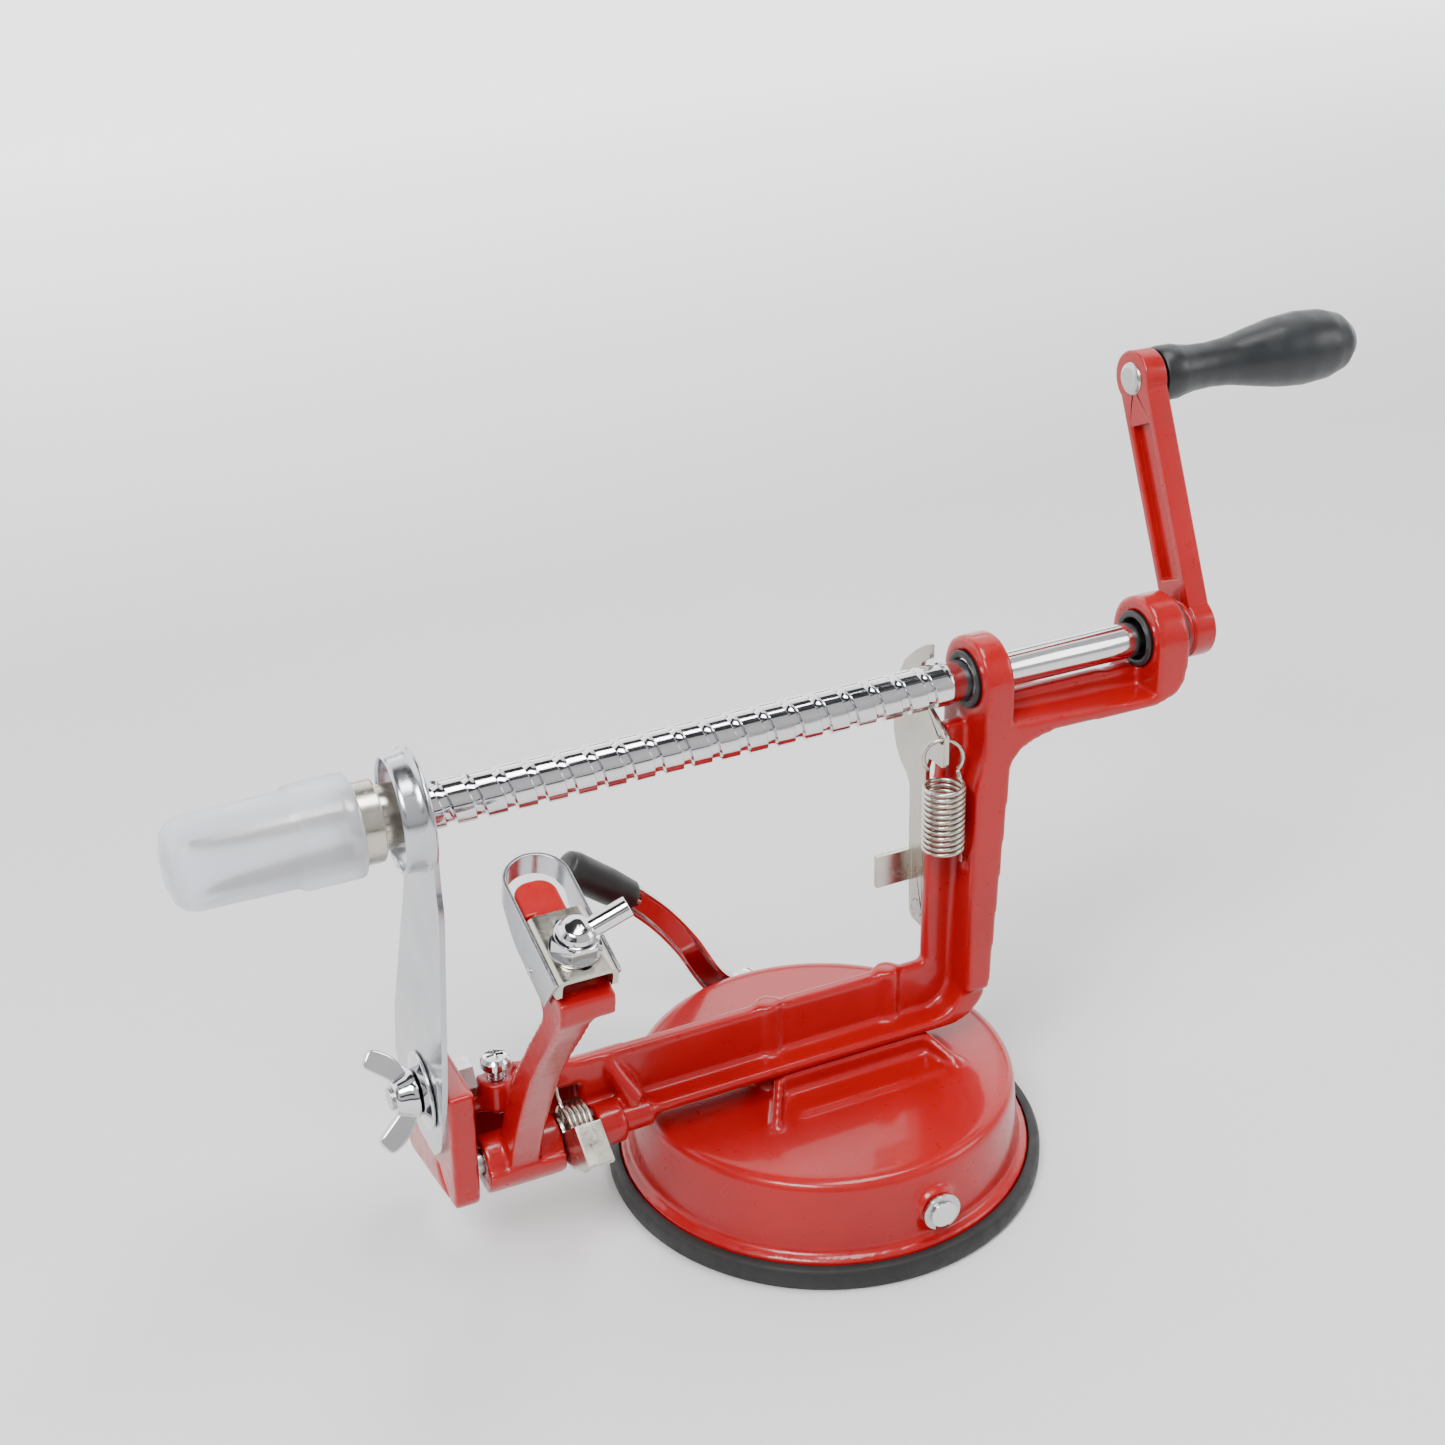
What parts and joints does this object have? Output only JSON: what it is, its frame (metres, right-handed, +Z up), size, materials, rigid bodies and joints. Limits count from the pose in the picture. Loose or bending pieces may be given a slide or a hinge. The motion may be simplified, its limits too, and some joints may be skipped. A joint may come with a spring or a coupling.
{
  "type": "apple peeler corer",
  "caption": "Hand-cranked fruit peeler and corer with a threaded feed shaft, sprung peeling arm, coring ring and suction base.",
  "frame": {"origin": "centre of the suction foot's flat underside, on the table", "axes": "+X from the fork to the crank along the feed shaft, +Y away from the peeling arm, +Z up"},
  "size_m": [0.2897, 0.1065, 0.1734],
  "materials": {
    "red_paint": "gloss",
    "black_rubber": "matte",
    "zinc_steel": "satin",
    "nickel_steel": "satin",
    "chrome": "polished",
    "blade_steel": "polished",
    "black_vinyl": "satin",
    "black_plastic": "matte",
    "handle_plastic": "satin",
    "frosted_plastic": "frosted"
  },
  "bodies": {
    "base": {"base_housing": "red_paint", "suction_disc": "black_rubber", "frame_casting": "red_paint", "frame_screw_left": "zinc_steel", "frame_screw_right": "zinc_steel", "front_bush": "black_plastic", "rear_bush": "black_plastic", "pivot_pin": "zinc_steel", "release_pivot": "zinc_steel", "stop_screw": "chrome", "blade_bolt": "zinc_steel", "release_spring": "nickel_steel", "peel_spring": "nickel_steel"},
    "feed": {"thrust_washer": "black_plastic"},
    "shaft": {"crank_shaft": "chrome", "fork": "nickel_steel", "crank_arm": "red_paint", "handle_axle": "zinc_steel"},
    "grip": {"handle_grip": "handle_plastic"},
    "cap": {"fork_cap": "frosted_plastic"},
    "release": {"release_lever": "nickel_steel"},
    "peeler": {"peel_arm": "red_paint", "peel_stud": "zinc_steel", "peel_nose": "red_paint"},
    "cutter": {"peel_head": "nickel_steel", "peel_blade": "blade_steel"},
    "peel_knob": {"peel_nut": "chrome"},
    "latch": {"latch_plate": "nickel_steel"},
    "coring": {"coring_blade": "blade_steel", "blade_washer": "chrome"},
    "wing": {"wing_nut": "chrome"},
    "cam": {"cam_pin": "chrome", "suction_lever": "chrome", "lever_grip": "black_vinyl", "pin_clip": "zinc_steel"},
    "lift": {"suction_stud": "zinc_steel"}
  },
  "joints": [
    {"name": "shaft_feed", "type": "slide", "parent": "base", "child": "feed", "axis": [1, 0, 0], "range_m": [0, 0.1049]},
    {"name": "crank_turn", "type": "hinge", "parent": "feed", "child": "shaft", "pos_m": [0, 0, 0.1132], "axis": [1, 0, 0], "range_deg": [0, 5940]},
    {"name": "grip_spin", "type": "hinge", "parent": "shaft", "child": "grip", "pos_m": [0.12, 0.02355, 0.16489], "axis": [1, 0, 0], "continuous": true},
    {"name": "cap_pull", "type": "slide", "parent": "shaft", "child": "cap", "axis": [-1, 0, 0], "range_m": [0, 0.04]},
    {"name": "release_swing", "type": "hinge", "parent": "base", "child": "release", "pos_m": [0.028, 0.0055, 0.0545], "axis": [1, 0, 0], "range_deg": [-5, 0], "stiffness_Nm_per_rad": 0.2, "springref_deg": 11.46, "deforming": ["release_spring"]},
    {"name": "peel_swing", "type": "hinge", "parent": "base", "child": "peeler", "pos_m": [-0.0755, -0.006, 0.03], "axis": [1, 0, 0], "range_deg": [0, 38], "stiffness_Nm_per_rad": 0.1, "springref_deg": -34.38, "deforming": ["peel_spring"]},
    {"name": "cutter_adjust", "type": "slide", "parent": "peeler", "child": "cutter", "axis": [0, 0.9504, 0.3109], "range_m": [-0.001, 0.002]},
    {"name": "peel_nut_turn", "type": "hinge", "parent": "peeler", "child": "peel_knob", "pos_m": [-0.074, -0.04653, 0.10341], "axis": [0, -0.3109, 0.9504], "continuous": true},
    {"name": "latch_swing", "type": "hinge", "parent": "base", "child": "latch", "pos_m": [-0.0663, -0.006, 0.03], "axis": [1, 0, 0], "range_deg": [-15, 25], "stiffness_Nm_per_rad": 0.02},
    {"name": "coring_swing", "type": "hinge", "parent": "base", "child": "coring", "pos_m": [-0.092, 0.001, 0.047], "axis": [1, 0, 0], "range_deg": [-0.5, 0.5]},
    {"name": "wing_nut_turn", "type": "hinge", "parent": "base", "child": "wing", "pos_m": [-0.097, 0.001, 0.047], "axis": [1, 0, 0], "continuous": true},
    {"name": "suction_turn", "type": "hinge", "parent": "base", "child": "cam", "pos_m": [0.0045, 0.049, 0.0135], "axis": [0, 1, 0], "range_deg": [0, 120]},
    {"name": "stud_lift", "type": "slide", "parent": "base", "child": "lift", "axis": [0, 0, 1], "range_m": [0, 0.003]}
  ],
  "couplings": [
    {"joint": "shaft_feed", "follows": "crank_turn", "m_per_rad": 0.0010106},
    {"joint": "stud_lift", "follows": "suction_turn", "m_per_rad": 0.0014323}
  ]
}
